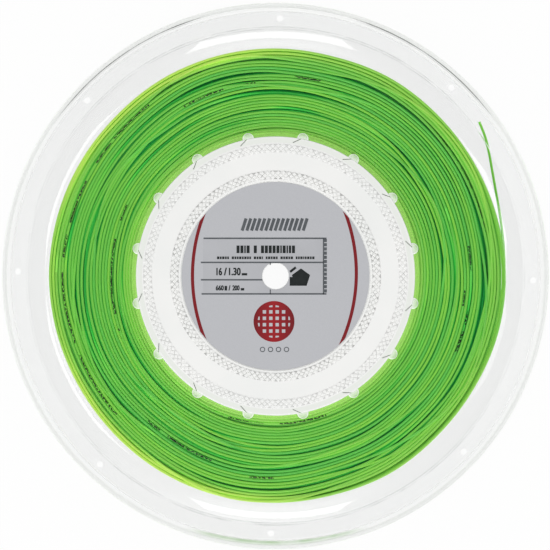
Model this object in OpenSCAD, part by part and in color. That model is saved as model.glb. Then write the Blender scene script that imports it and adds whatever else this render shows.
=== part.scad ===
// String reel: a clear two-flange reel that holds a full winding of racket string.
// It lies flat. The origin is on the spindle's axis, in the plane that the rear rim rests on.

/* [Flanges] */
// Outer diameter of both flanges
flange_d = 250; // [242:1:290]
// Wall thickness of a flange
flange_wall = 1.6; // [1.2:0.1:2.2]
// Radial width of the raised rim
rim_w = 2.3; // [1.8:0.1:3.2]
// Height of the rim above the land beside it
rim_h = 1.2; // [0.9:0.1:2]
// Radial width of the flat land that holds the tail holes
land_w = 8.7; // [7.6:0.1:10]
// Radial width of the slope between the web and the land
slope_w = 9.5; // [7:0.1:9.5]
// How far the slope leads the flange away from the winding
slope_rise = 2; // [1:0.1:2.4]
// Diameter of the small holes that hold the string's tail
tail_hole_d = 2.4; // [1.8:0.1:3]
// Distance from the flange's edge to the centre of a tail hole
tail_hole_inset = 7.5; // [7:0.1:8]

/* [Drum] */
// Distance across the flats of the drum that the string is wound on
drum_d = 126.8; // [118:0.2:132]
// Wall thickness of the drum
drum_wall = 2.4; // [1.8:0.1:3.2]
// Flats of the drum, with a round post at each corner
drum_sides = 16; // [14:2:18]
// Diameter of a corner post
post_d = 4.8; // [4:0.1:5.4]

/* [Winding] */
// Width of the winding space between the flanges
winding_w = 16; // [13:0.5:20]
// Outer diameter of the winding
winding_d = 207.6; // [190:0.2:208]
// Diameter of the string
string_d = 1.3; // [1.15:0.01:1.35]

/* [Hub] */
// Diameter of the spindle bore
bore_d = 12; // [9:0.5:16]
// Wall thickness of the sleeve that lines the bore
sleeve_wall = 2; // [1.4:0.1:3]
// Thickness of a hub cap's plate
cap_wall = 1.6; // [1.4:0.1:2.4]
// Thickness of the lip by which a hub cap holds its flange down
lip_h = 1.2; // [0.8:0.1:1.8]
// Length of the cap's spigot inside the drum
spigot_l = 5; // [3:0.5:6]
// Wall thickness of the cap's spigot
spigot_wall = 2.2; // [1.6:0.1:3]
// Width of the inner knurled band
inner_band_w = 4.4; // [3.5:0.1:5]
// Width of the outer knurled band
outer_band_w = 4.5; // [3.5:0.1:5]
// Height of the knurled bands above the cap
band_h = 0.3; // [0.2:0.05:0.5]
// Radial ribs inside the hub
rib_count = 8; // [6:1:12]
// Thickness of the ribs and of their ring
rib_wall = 1.5; // [1.2:0.1:2]

/* [Labels] */
// Diameter of a label
label_d = 86; // [80:0.5:88]
// Thickness of a label
label_t = 0.25; // [0.2:0.05:0.4]
// Depth of the recess that a label lies in
recess_h = 0.6; // [0.5:0.05:0.8]

/* [Hidden] */
$fn = 96;

// Clearances: one for string against its neighbours, one for a plug in its socket
string_fit = 0.1;
spigot_fit = 0.2;
sleeve_fit = 0.05;
label_fit = 0.4;
post_fit = 0.3;
edge = 0.4; // chamfer on rims and cap edges

// Heights are counted from the middle plane, and the reel is then lifted to rest on z = 0
web_z = winding_w / 2;
land_z = web_z + slope_rise;
rim_z = land_z + flange_wall + rim_h;
lip_z = web_z + flange_wall;
cap_z = lip_z + lip_h;
plate_z = cap_z - cap_wall;
floor_z = cap_z - recess_h;

flange_r = flange_d / 2;
rim_r = flange_r - rim_w;
land_r = rim_r - land_w;
web_r = land_r - slope_w;
tail_hole_r = flange_r - tail_hole_inset;
tail_holes = 8;
tail_hole_start = -1; // angle of the first hole, with +X at 0
tail_hole_gaps = [48, 42]; // the spacing alternates between these two angles

drum_r = drum_d / 2;
drum_bore_r = drum_r - drum_wall;
post_r = post_d / 2;
spigot_r = drum_bore_r - spigot_fit;
bore_r = bore_d / 2;
sleeve_r = bore_r + sleeve_wall;
label_r = label_d / 2;
recess_r = label_r + label_fit;
inner_band_r = recess_r + 0.7;
slit_w = 0.4;
slit_l = 3.2;
label_hole_fit = 0.2;
rib_ring_r = label_r - 1;
collar_r = sleeve_r + sleeve_fit + rib_wall;

// The string's outer layer: loops spiral out over the front face, then wind round the edge
steps = 24; // rings in a loop
turns_sides = 6;
string_r = string_d / 2;
turn_r = winding_d / 2 - string_r; // centre line of the outermost loops
turn_z = web_z - string_fit - string_r;
bulk_r = turn_r - string_r - string_fit;
bulk_z = turn_z - string_r - string_fit;
edge_gap = 0.5;
face_gap = 1.05;
max_loops = 24;
lead_bend = 2 * string_d;
lead_r = drum_r + string_fit + string_d; // where the lead has run straight for one diameter
first_r = lead_r + lead_bend;
edge_loops = floor(2 * turn_z / (string_d + edge_gap));
face_loops = min(max_loops - edge_loops, floor((turn_r - first_r) / (string_d + face_gap)));
edge_rings = edge_loops * steps - 1;
face_rings = face_loops * steps;

// The free tail leaves the last loop, lies down the rear flange's slope and ends on its land
tail_sides = 8;
tail_points = [
    [100.0, -25.4, 5.55], [100.9, -22, 5.55], [101.8, -18.5, 5.55], [102.6, -15, 5.55],
    [103.4, -11.5, 5.55], [104.1, -8, 5.55], [104.7, -4.5, 5.5], [105.1, -1, 5.45],
    [105.3, 2.5, 5.4], [105.4, 6, 5.4], [105.3, 9.5, 5.35], [105.1, 13, 5.3],
    [104.8, 16.5, 5.25], [104.4, 20, 5.2], [104.0, 23.5, 5.15], [103.5, 27, 5.1],
    [103.0, 30.5, 5.0], [102.4, 34, 4.85], [101.8, 37.5, 4.75], [101.2, 41, 4.6],
    [100.6, 44.5, 4.4], [100.0, 48, 4.25], [99.4, 51.5, 4.0], [98.8, 55, 3.75],
    [98.1, 58.5, 3.6], [97.2, 62, 3.6], [96.1, 65.5, 3.6], [94.9, 68.5, 3.6], [93.8, 71, 3.6]];

clear_plastic = [0.93, 0.95, 0.94, 0.35];
milky_plastic = [0.95, 0.95, 0.94];
label_grey = [0.72, 0.73, 0.75];
string_green = [0.42, 0.76, 0.25];

function unit(v) = v / norm(v);
function polar(r, a, z = 0) = [r * cos(a), r * sin(a), z];
function heading(p, i) = unit(p[min(i + 1, len(p) - 1)] - p[max(i - 1, 0)]);
function ring(c, t, r, sides) =
    let (across = unit(cross([0, 0, 1], t)), up = cross(t, across))
    [for (k = [0:sides - 1]) c + r * cos(360 * k / sides) * across + r * sin(360 * k / sides) * up];

// A closed tube of diameter d with a ring of points at each point of p
module tube(p, d, sides) {
    last = (len(p) - 1) * sides;
    points = [for (i = [0:len(p) - 1]) each ring(p[i], heading(p, i), d / 2, sides)];
    walls = [for (i = [0:len(p) - 2], k = [0:sides - 1])
        let (a = i * sides + k, b = i * sides + (k + 1) % sides)
        each [[a, a + sides, b + sides], [a, b + sides, b]]];
    ends = [for (k = [1:sides - 2]) each [[0, k, k + 1], [last, last + k + 1, last + k]]];
    polyhedron(points = points, faces = [each walls, each ends]);
}

// The route of the outer layer, one unbroken line from the drum to the last loop's end
lead_path = [
    polar(lead_r - string_d, 0, turn_z),
    for (a = [0:18:90]) [lead_r + lead_bend * sin(a), lead_bend * (1 - cos(a)), turn_z]];
face_path = [for (k = [1:face_rings])
    polar(first_r + (turn_r - first_r) * k / face_rings, 360 * k / steps, turn_z)];
// Each edge loop drops by the same step, most of it early, so that it clears the last face loop
edge_drop = 2 * turn_z / edge_loops;
edge_path = [for (k = [1:edge_rings])
    polar(turn_r, 360 * k / steps,
        turn_z - edge_drop * (floor(k / steps) + sin(90 * (k % steps) / steps)))];
end_angle = 360 * edge_rings / steps;
end_point = edge_path[edge_rings - 1] + polar(string_d, end_angle + 90);
turns_path = [each lead_path, each face_path, each edge_path, end_point];

turns_gap = min([for (i = [0:len(turns_path) - 1], j = [i + steps / 2:1:len(turns_path) - 1])
    norm(turns_path[i] - turns_path[j])]) - string_d;
echo(loops = face_loops + edge_loops, turns_gap = turns_gap);

// Puts what is built round the middle plane at its height above the surface below
module lift() {
    translate([0, 0, rim_z]) children();
}

// Many-sided outline with its corners at equal steps of the angle, from start on
module even_outline(corner_r, corners, start = 0) {
    polygon([for (k = [0:corners - 1])
        [corner_r * cos(start + 360 * k / corners), corner_r * sin(start + 360 * k / corners)]]);
}

// The drum seen along its axis: flats with a round post at each corner, all grown by a clearance
module drum_outline(grow = 0) {
    half_side = 180 / drum_sides;
    even_outline((drum_r + grow) / cos(half_side), drum_sides, half_side);
    for (k = [0:drum_sides - 1])
        rotate(half_side * (2 * k + 1)) translate([drum_r, 0]) circle(r = post_r + grow);
}

// One flange, built as the front one: a flat web, a slope, a land with tail holes, and a rim
module flange() {
    difference() {
        rotate_extrude() polygon([
            [drum_bore_r, web_z], [web_r, web_z], [land_r, land_z], [flange_r - edge, land_z],
            [flange_r, land_z + edge], [flange_r, rim_z - edge], [flange_r - edge, rim_z],
            [rim_r + edge, rim_z], [rim_r, rim_z - edge], [rim_r, land_z + flange_wall],
            [land_r, land_z + flange_wall], [web_r, lip_z], [drum_bore_r, lip_z]]);
        for (k = [0:tail_holes - 1]) {
            pair = floor(k / 2) * (tail_hole_gaps[0] + tail_hole_gaps[1]);
            rotate(tail_hole_start + pair + (k % 2) * tail_hole_gaps[0])
                translate([tail_hole_r, 0, web_z]) cylinder(d = tail_hole_d, h = rim_z, $fn = 32);
        }
    }
}

// One hub cap, built as the front one: a plate with a label recess and two knurled bands, a lip
// over the flange, slit beside each post, and a spigot that plugs into the drum
module hub_cap() {
    inner_end = inner_band_r + inner_band_w;
    outer_start = spigot_r - outer_band_w;
    difference() {
        rotate_extrude() polygon([
            [sleeve_r + sleeve_fit, plate_z], [sleeve_r + sleeve_fit, floor_z],
            [recess_r, floor_z], [recess_r, cap_z], [inner_band_r, cap_z],
            [inner_band_r, cap_z + band_h], [inner_end, cap_z + band_h], [inner_end, cap_z],
            [outer_start, cap_z], [outer_start, cap_z + band_h], [spigot_r, cap_z + band_h],
            [spigot_r, cap_z], [drum_r - edge, cap_z], [drum_r, cap_z - edge], [drum_r, lip_z],
            [spigot_r, lip_z], [spigot_r, web_z - spigot_l],
            [spigot_r - spigot_wall, web_z - spigot_l], [spigot_r - spigot_wall, plate_z]]);
        for (k = [0:drum_sides - 1])
            rotate((2 * k + 1) * 180 / drum_sides + asin(post_r / drum_r))
                translate([drum_r - slit_l, -slit_w / 2, web_z])
                    cube([2 * slit_l, slit_w, cap_z]);
    }
}

// One label, built as the front one
module label() {
    translate([0, 0, floor_z]) difference() {
        cylinder(r = label_r, h = label_t);
        translate([0, 0, -label_t]) cylinder(r = bore_r + label_hole_fit, h = 3 * label_t);
    }
}

module rear_flange() {
    color(clear_plastic) lift() mirror([0, 0, 1]) flange();
}

module front_flange() {
    color(clear_plastic) lift() flange();
}

module drum() {
    color(milky_plastic) lift() translate([0, 0, -web_z]) linear_extrude(winding_w) difference() {
        drum_outline();
        circle(r = drum_bore_r);
    }
}

module rear_hub_cap() {
    color(milky_plastic) lift() mirror([0, 0, 1]) hub_cap();
}

module front_hub_cap() {
    color(milky_plastic) lift() hub_cap();
}

// The tube that lines the spindle bore, from the floor of one recess to that of the other
module spindle_sleeve() {
    color(milky_plastic) lift() difference() {
        translate([0, 0, -floor_z]) cylinder(r = sleeve_r, h = 2 * floor_z);
        translate([0, 0, -2 * floor_z]) cylinder(r = bore_r, h = 4 * floor_z);
    }
}

// Ribs between the two cap plates, from a collar round the sleeve to a ring under the labels' edge
module hub_ribs() {
    color(milky_plastic) lift() translate([0, 0, -plate_z]) linear_extrude(2 * plate_z) {
        difference() {
            circle(r = rib_ring_r);
            circle(r = rib_ring_r - rib_wall);
        }
        difference() {
            union() {
                circle(r = collar_r);
                for (k = [0:rib_count - 1])
                    rotate(360 * k / rib_count) translate([0, -rib_wall / 2])
                        square([rib_ring_r - rib_wall / 2, rib_wall]);
            }
            circle(r = sleeve_r + sleeve_fit);
        }
    }
}

module rear_label() {
    color(label_grey) lift() mirror([0, 0, 1]) label();
}

module front_label() {
    color(label_grey) lift() label();
}

// The inner layers of the winding as one plain ring that fits round the drum and its posts
module string_bulk() {
    color(string_green) lift() translate([0, 0, -web_z + string_fit])
        linear_extrude(web_z - string_fit + bulk_z) difference() {
            even_outline(bulk_r, steps);
            drum_outline(post_fit);
        }
}

// The outer layer of the winding: one string, over the front face and round the edge
module string_turns() {
    color(string_green) lift() tube(turns_path, string_d, turns_sides);
}

// The string's loose end
module string_tail() {
    color(string_green) tube(tail_points, string_d, tail_sides);
}

rear_flange();
front_flange();
drum();
rear_hub_cap();
front_hub_cap();
spindle_sleeve();
hub_ribs();
rear_label();
front_label();
string_bulk();
string_turns();
string_tail();
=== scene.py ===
# %% [markdown]
# # A reel of racket string
# A stringer buys racket string by the reel: two clear flanges on a milky drum, and 200 metres of
# string wound between them. The frame below is the measured model. It never changes here. Each
# new piece takes the place of a plain solid of the frame and gives it the form and the finish of
# the real part, so the frame says where everything goes and how large it may be.

# %% Load the fixed frame
import math

import bpy
import numpy as np
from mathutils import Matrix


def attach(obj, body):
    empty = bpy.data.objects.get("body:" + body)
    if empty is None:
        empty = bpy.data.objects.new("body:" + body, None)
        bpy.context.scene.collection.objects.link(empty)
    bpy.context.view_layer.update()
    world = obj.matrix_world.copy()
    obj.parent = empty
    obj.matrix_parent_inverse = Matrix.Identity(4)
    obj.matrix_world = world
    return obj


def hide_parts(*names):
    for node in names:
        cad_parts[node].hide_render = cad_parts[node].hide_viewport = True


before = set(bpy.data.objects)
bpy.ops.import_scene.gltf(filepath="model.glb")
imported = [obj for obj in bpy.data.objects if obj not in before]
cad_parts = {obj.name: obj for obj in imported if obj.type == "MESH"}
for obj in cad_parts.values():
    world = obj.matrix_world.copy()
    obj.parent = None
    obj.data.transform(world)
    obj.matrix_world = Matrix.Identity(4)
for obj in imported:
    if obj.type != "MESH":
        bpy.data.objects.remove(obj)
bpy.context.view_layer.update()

MM = 0.001

# %% [markdown]
# ## Camera
# The reel lies flat and is seen from straight above, as on a copy stand. A long lens from three
# metres up keeps the rim and the rear flange almost the same size, so the reel looks as round and
# as flat as it does on a shelf page. The lens follows from the width that the picture spans at the
# height of the upper rim.

# %% Set up the camera
camera_height = 3.0
picture_width = 251.55 * MM
rim_top = 25.6 * MM
bpy.ops.object.camera_add(location=(-0.23 * MM, 0.46 * MM, camera_height), rotation=(0, 0, 0))
camera = bpy.context.object
camera.name = "copy_stand_camera"
camera.data.sensor_width = 36
camera.data.lens = 36 * (camera_height - rim_top) / picture_width
camera.data.clip_start, camera.data.clip_end = 0.1, 50
bpy.context.scene.camera = camera
bpy.context.scene.view_settings.view_transform = "Standard"
print("lens, mm:", round(camera.data.lens, 1))

# %% [markdown]
# ## Working on one piece at a time
# Blender's operators work on what is selected, so small helpers pick a piece, change its mode or
# start an empty one. Many pieces are round or stand in a circle about the spindle, so two more
# helpers turn a distance and a bearing into a place and put an upright cylinder there.

# %% Pick, start and place pieces
def mode(name):
    """Changes the active piece's mode."""
    bpy.ops.object.mode_set(mode=name)


def alone():
    """Leaves edit mode and deselects everything, so that the next operator works on one piece."""
    if bpy.context.mode != "OBJECT":
        mode("OBJECT")
    bpy.ops.object.select_all(action="DESELECT")


def pick(piece):
    """Selects one piece and makes it active."""
    alone()
    piece.select_set(True)
    bpy.context.view_layer.objects.active = piece


def empty_piece(name):
    """Starts a piece with nothing in it, and leaves it in edit mode."""
    alone()
    bpy.ops.mesh.primitive_plane_add(size=MM, location=(0, 0, 0))
    piece = bpy.context.object
    piece.name = piece.data.name = name
    mode("EDIT")
    bpy.ops.mesh.delete(type="VERT")
    return piece


def round_axis(distance, bearing, height):
    """The place at a distance from the axis, a bearing in degrees and a height, in millimetres."""
    angle = math.radians(bearing)
    return distance * MM * math.cos(angle), distance * MM * math.sin(angle), height * MM


def cylinder(points, radius, depth, place=(0, 0, 0), turned=0.0):
    """Adds an upright cylinder, with its radius and depth in millimetres, and returns its piece."""
    bpy.ops.mesh.primitive_cylinder_add(
        vertices=points, radius=radius * MM, depth=depth * MM, location=place,
        rotation=(0, 0, math.radians(turned)))
    return bpy.context.object


def smooth_up_to(piece, angle):
    """Shades a piece smooth, apart from edges that are sharper than an angle in degrees."""
    pick(piece)
    bpy.ops.object.shade_smooth_by_angle(angle=math.radians(angle))


print("helpers ready")

# %% [markdown]
# ## The string's section
# A spin string isn't round: it has five soft corners that bite into the ball. A circle of ten
# points becomes that section when every second point is drawn in a little, so that a flat lies
# uppermost. Swept along a curve it gives string of any length, which is why the section is made
# once, as a curve.

# %% Draw the five-cornered section
string_radius = 0.65 * MM
section_points = 10
drawn_in = 0.93   # how much nearer to the middle every second point lies

alone()
bpy.ops.mesh.primitive_circle_add(vertices=section_points, radius=string_radius, location=(0, 0, 0))
string_section = bpy.context.object
for corner, point in enumerate(string_section.data.vertices):
    point.select = corner % 2 == 0
mode("EDIT")
bpy.ops.transform.resize(value=(drawn_in, drawn_in, 1), center_override=(0, 0, 0))
mode("OBJECT")
bpy.ops.object.convert(target="CURVE")
print("section points:", len(string_section.data.splines[0].points))

# %% [markdown]
# ## Laying string
# A stretch of string is a curve through its route with the section swept along it, turned into a
# mesh. A few facts are stored at each point of that mesh: how far along the string it lies, how far
# up and how far outwards it sits on the string's own round, and whether a row of marks is printed
# there. The material needs them, because ribs and marks follow the string and not the room.

# %% Sweep the section along a route
def lay_string(name, route, starts_at=0.0, printed_rows=()):
    """Makes a stretch of string along a route of points in metres, and returns it with its length."""
    route = np.asarray(route, float)
    steps = np.linalg.norm(np.diff(route, axis=0), axis=1)
    along = starts_at + np.concatenate([[0], np.cumsum(steps)])
    printed = np.zeros(len(along))
    for first, last in printed_rows:
        printed[(along >= first) & (along <= last)] = 1
    line = bpy.data.curves.new(name, "CURVE")
    line.dimensions, line.twist_mode = "3D", "Z_UP"
    line.bevel_mode, line.bevel_object, line.use_fill_caps = "OBJECT", string_section, True
    spline = line.splines.new("POLY")
    spline.points.add(len(route) - 1)
    spline.points.foreach_set("co", np.c_[route, np.ones(len(route))].ravel())
    piece = bpy.data.objects.new(name, line)
    bpy.context.scene.collection.objects.link(piece)
    pick(piece)
    bpy.ops.object.convert(target="MESH")
    piece = bpy.context.object
    bpy.ops.object.shade_smooth()
    place = np.empty(len(piece.data.vertices) * 3)
    piece.data.vertices.foreach_get("co", place)
    place = place.reshape(-1, 3)
    owner = np.minimum(np.arange(len(place)) // section_points, len(route) - 1)
    offset = place - route[owner]
    offset[len(route) * section_points:] = 0
    outwards = np.linalg.norm(place[:, :2], axis=1) - np.linalg.norm(route[owner][:, :2], axis=1)
    for fact, values in (("along", along[owner]), ("crest", offset[:, 2] / string_radius),
                         ("aside", outwards / string_radius), ("printed", printed[owner])):
        piece.data.attributes.new(fact, "FLOAT", "POINT").data.foreach_set(
            "value", values.astype(np.float32))
    return piece, float(steps.sum())


# %% [markdown]
# ## The loose tail
# The free end comes off the last turn, lies down the rear flange's slope and rests on its land. It
# is the one part of the string that nothing holds. Its length is the length of the route, about a
# tenth of a metre, and its end is bare, because string is cut off square. The route's points are
# those of the frame's own tail, and two more are put between each pair on a smooth line, so that no
# kinks show.

# %% Lay the loose tail
tail_points = np.array([
    [100.0, -25.4, 5.55], [100.9, -22, 5.55], [101.8, -18.5, 5.55], [102.6, -15, 5.55],
    [103.4, -11.5, 5.55], [104.1, -8, 5.55], [104.7, -4.5, 5.5], [105.1, -1, 5.45],
    [105.3, 2.5, 5.4], [105.4, 6, 5.4], [105.3, 9.5, 5.35], [105.1, 13, 5.3],
    [104.8, 16.5, 5.25], [104.4, 20, 5.2], [104.0, 23.5, 5.15], [103.5, 27, 5.1],
    [103.0, 30.5, 5.0], [102.4, 34, 4.85], [101.8, 37.5, 4.75], [101.2, 41, 4.6],
    [100.6, 44.5, 4.4], [100.0, 48, 4.25], [99.4, 51.5, 4.0], [98.8, 55, 3.75],
    [98.1, 58.5, 3.6], [97.2, 62, 3.6], [96.1, 65.5, 3.6], [94.9, 68.5, 3.6], [93.8, 71, 3.6]]) * MM


def smooth_line(points, between):
    """Puts points between those given, on a line that runs smoothly through all of them."""
    ends = np.concatenate([[2 * points[0] - points[1]], points, [2 * points[-1] - points[-2]]])
    line = []
    for a, b, c, d in zip(ends, ends[1:], ends[2:], ends[3:]):
        for t in np.arange(between + 1) / (between + 1):
            line.append(0.5 * (2 * b + (c - a) * t + (2 * a - 5 * b + 4 * c - d) * t ** 2
                               + (3 * b - 3 * c + d - a) * t ** 3))
    return np.array(line + [points[-1]])


tail_route = smooth_line(tail_points, 2)
loose_tail, tail_length = lay_string("loose_tail", tail_route, 0.0)
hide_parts("string_tail")
print("tail, mm:", round(tail_length / MM, 1), "points:", len(tail_route))

# %% [markdown]
# ## How the winding lies
# A machine lays the string in layers: about thirteen turns side by side from one flange to the
# other, then a step outwards and back again. Seen through a flange, the turn nearest to it shows of
# each layer. These turns touch for long stretches and part in places, and there a dark gap in the
# shape of a lens opens. A few leave their place and ride over their neighbours. So each face of the
# winding is first worked out as a table: for every layer and every degree, the distance from the
# axis, and how deep the turn has sunk. The slack that is left when all turns touch is shared out
# among the gaps, so the winding always ends at its edge. The numbers are seeded, so the reel is the
# same each time.

# %% Work out both faces of the winding
layers = 29
first_layer, edge = 64.05, 103.3   # distance of the innermost and outermost turns from the axis, mm
touching = 1.265                   # distance between two turns that are pressed together, mm
face_height = 6.8                  # height of the turns next to a flange above the middle plane, mm
middle = 12.8                      # height of the middle plane, mm
degrees = np.arange(360)
winder = np.random.default_rng(11)


def ease(t):
    """Goes from 0 to 1 with a soft start and a soft end."""
    t = np.clip(t, 0, 1)
    return t * t * (3 - 2 * t)


def lens(centre, half):
    """A smooth hump over an arc: 1 at its centre and 0 from half its width on."""
    away = np.clip(np.abs((degrees - centre + 180) % 360 - 180) / half, 0, 1)
    return (1 - away ** 2) ** 2


def wander(rows, amount, waves):
    """Smooth closed wobbles, one row for each layer, in millimetres."""
    turn = np.radians(degrees)[None, :]
    total = np.zeros((rows, 360))
    for wave in range(1, waves + 1):
        total += winder.normal(size=(rows, 1)) / wave ** 0.7 * np.cos(
            wave * turn + winder.uniform(0, math.tau, (rows, 1)))
    return amount * total / np.abs(total).max(axis=1, keepdims=True)


def winding_face(rim, loose, riders):
    """Distance from the axis and depth of each layer's turn at one flange, both in millimetres.

    rim is where the outermost turn lies, and loose is how far it stands off. A rider is a layer, the
    bearing and half the width of the arc where it has left its place, and how far it lies aside.
    """
    pressed = np.full((layers - 1, 360), touching)
    pressed[:6] -= np.linspace(0.14, 0.04, 6)[:, None]   # the first layers are pressed hardest
    for layer, centre, half, _ in riders:   # neighbours close up where a turn has left its place
        pressed[layer - 1:layer + 1] -= touching / 2 * lens(centre, half)
    slack = np.full((layers - 1, 360), 0.06)
    sunk = np.abs(wander(layers, 0.22, 6))
    for layer in range(layers - 1):
        calm = min(1, (layer + 1) / 7)          # the first layers lie quiet
        sunk[layer] *= calm
        for _ in range(winder.integers(1, 4)):
            wide = calm * winder.uniform(0.2, 1.5)
            slack[layer] += wide * lens(winder.uniform(0, 360), winder.uniform(14, 54))
        if winder.uniform() < 0.75:
            deep = calm * winder.uniform(0.3, 1.3)
            sunk[layer] += deep * lens(winder.uniform(0, 360), winder.uniform(14, 42))
    near = np.abs(np.arange(layers - 1)[:, None] - np.arange(layers - 1)[None, :]) <= 3
    slack = slack / (near @ slack)              # a wide gap presses the turns beside it together
    room = rim - loose - first_layer - pressed.sum(axis=0)
    gaps = pressed + slack / slack.sum(axis=0) * room
    gaps[-1] += loose
    place = first_layer + np.concatenate([np.zeros((1, 360)), np.cumsum(gaps, axis=0)])
    sunk[-1] = 0
    for layer, centre, half, aside in riders:
        place[layer] += aside * lens(centre, half)
        sunk[layer] = sunk[layer] * (1 - lens(centre, half)) - 0.45 * lens(centre, half)
    return place, sunk


# No winding is quite round: the outermost turn's distance from the axis, every 15 degrees, in mm.
upper_rim = np.interp(degrees, np.arange(0, 361, 15), [
    105.15, 104.5, 104.25, 104.25, 104.4, 103.4, 103.75, 103.8, 103.7, 102.95, 103.0, 103.1, 103.3,
    102.95, 102.75, 102.95, 103.45, 103.5, 103.4, 103.15, 104.15, 103.65, 103.95, 104.85, 105.15])
upper_rim = (np.roll(upper_rim, 3) + np.roll(upper_rim, -3) + 2 * upper_rim) / 4
sprung = np.interp((degrees + 180) % 360, [150, 164, 180, 194, 208], [0, 1.15, 1.35, 1.1, 0])
upper_place, upper_sunk = winding_face(upper_rim, sprung, (
    (23, 33, 47, 6.2), (22, 326, 47, 5.9), (25, 106, 24, 2.6), (20, 205, 30, 3.1), (17, 292, 34, -3.3),
    (14, 150, 28, 3.0), (9, 22, 30, 2.9), (18, 84, 26, -2.8), (12, 238, 30, -2.7), (26, 262, 34, 2.4)))
lower_place, lower_sunk = winding_face(np.full(360, edge), np.zeros(360), (
    (21, 60, 40, 4.0), (16, 170, 30, -3.0), (24, 280, 34, 3.0), (11, 330, 28, 2.6)))
core_place = np.repeat(np.linspace(first_layer, edge - 0.45, layers)[:, None], 360, axis=1)
print("gaps on the upper face, mm:", np.round(np.percentile(np.diff(upper_place, axis=0), [5, 50, 99]), 2))

# %% [markdown]
# ## The route of 200 metres
# The route is one unbroken line. Each layer has thirteen turns, and every second one nests in the
# hollow between its neighbours. A turn lies almost flat and steps over to the next place near its
# end, and the last turn of a layer steps outwards. The places where that happens creep round the
# reel, so that no seam shows. Between its two faces the pack is regular. Turns that can be seen get
# a point every two and a half degrees, and those buried in the pack get fewer.

# %% Trace the string from the drum to its outermost turn
seen_points, buried_points = 144, 48   # points to a turn
turns_of = [15 if layer == 14 else 13 for layer in range(layers)]
creep = winder.uniform(-0.35, 0.35, layers)
creep[-1] = 0.46
sweep = np.array(turns_of) + creep
end_angle = math.degrees(math.atan2(tail_points[0][1], tail_points[0][0]))
starts = end_angle / 360 - np.cumsum(sweep[::-1])[::-1]


def look_up(table, layer, turn):
    """Reads a face's table at any fraction of a turn."""
    return np.interp(turn % 1 * 360, np.arange(361), np.append(table[layer], table[layer][0]))


def place_of(layer, turn, across):
    """Distance from the axis and height of a layer at a turn. across is 0 at the upper flange, up to 1."""
    far = look_up(core_place, layer, turn)
    for place, away in ((upper_place, across), (lower_place, 1 - across)):
        near = ease(1 - away / 0.2)
        far = far + near * (look_up(place, layer, turn) - look_up(core_place, layer, turn))
    top = middle + face_height - look_up(upper_sunk, layer, turn)
    bottom = middle - face_height + look_up(lower_sunk, layer, turn)
    return far, (1 - across) * top + across * bottom


def trace_layer(layer):
    """The points of one layer, in metres."""
    turns = turns_of[layer]
    at = []
    for turn in range(turns):
        seen = turn < 2 or turn >= turns - 2 or layer == layers - 1
        count = seen_points if seen else buried_points
        at.append(turn + np.arange(count) / count)
    at = np.concatenate(at)
    whole, part = np.floor(at), at % 1
    level = np.minimum(whole + ease((part - 0.88) / 0.12), turns - 1)
    across = level / (turns - 1) if layer % 2 == 0 else 1 - level / (turns - 1)
    turn = starts[layer] + at * sweep[layer] / turns
    far, height = place_of(layer, turn, across)
    in_hollow = np.minimum(1 - np.abs(1 - level % 2), turns - 1 - level)   # for every second turn
    far = far + 0.68 * min(1, (layers - 1 - layer) / 3) * in_hollow
    if layer < layers - 1:
        step = ease((at - (turns - 0.14)) / 0.14)
        far_next, height_next = place_of(layer + 1, turn, across)
        far, height = far + step * (far_next - far), height + step * (height_next - height)
    angle = turn * math.tau
    return np.c_[far * np.cos(angle), far * np.sin(angle), height] * MM


traced = [trace_layer(layer) for layer in range(layers)]
traced[-1] = np.concatenate([traced[-1], [tail_points[0]]])
print("turns:", sum(turns_of), "points:", sum(len(t) for t in traced))

# %% [markdown]
# String is printed with small rows of marks before it is wound, and only a few of them end up where
# they can be seen. Rows come at even distances along the string. Some more are set where a turn
# lies in full view beside the upper flange, found by distance from the axis and by bearing.

# %% Find the printed rows
layer_starts = np.cumsum([0] + [len(t) for t in traced])
steps = np.linalg.norm(np.diff(np.concatenate(traced), axis=0), axis=1)
travelled = np.concatenate([[0], np.cumsum(steps)])


def way_along(layer, bearing):
    """How far along the string a layer's turn beside the upper flange comes to a bearing in degrees."""
    beside = np.arange(seen_points) + (0 if layer % 2 == 0 else len(traced[layer]) - seen_points)
    bearings = np.degrees(np.arctan2(traced[layer][beside, 1], traced[layer][beside, 0]))
    nearest = np.argmin(np.abs((bearings - bearing + 180) % 360 - 180))
    return float(travelled[layer_starts[layer] + beside[nearest]])


def row_in_view(from_axis, first, last):
    """The stretch of string that runs in full view from one bearing to another, near a distance in mm."""
    choice = []
    bearings = np.arange(first, last + 1) % 360
    for layer in range(layers):
        ways = way_along(layer, first), way_along(layer, last)
        off = abs(upper_place[layer][bearings].mean() - from_axis)
        if ways[0] < ways[1] < ways[0] + 0.4 and off < 2.2:
            choice.append((off + 2 * upper_sunk[layer][bearings].max(), layer, ways))
    off, layer, ways = min(choice)
    print("  row in layer", layer, "metres", [round(w, 2) for w in ways])
    return ways


printed_rows = [(start, start + 0.05) for start in np.arange(1.7, travelled[-1], 6.6)]
printed_rows += [row_in_view(*row) for row in (
    (95.5, 133, 228), (88.8, 103, 124), (91.7, 84, 92), (76.0, 158, 202), (88.8, 236, 257),
    (91.7, 268, 276), (86.5, -3, 3))]
print("printed rows:", len(printed_rows))

# %% [markdown]
# ## Winding it on
# One mesh for all of it would be too heavy to handle, so the route is cut into five stretches that
# meet end to end. Each takes up the distance along the string where the one before it stopped.

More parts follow.
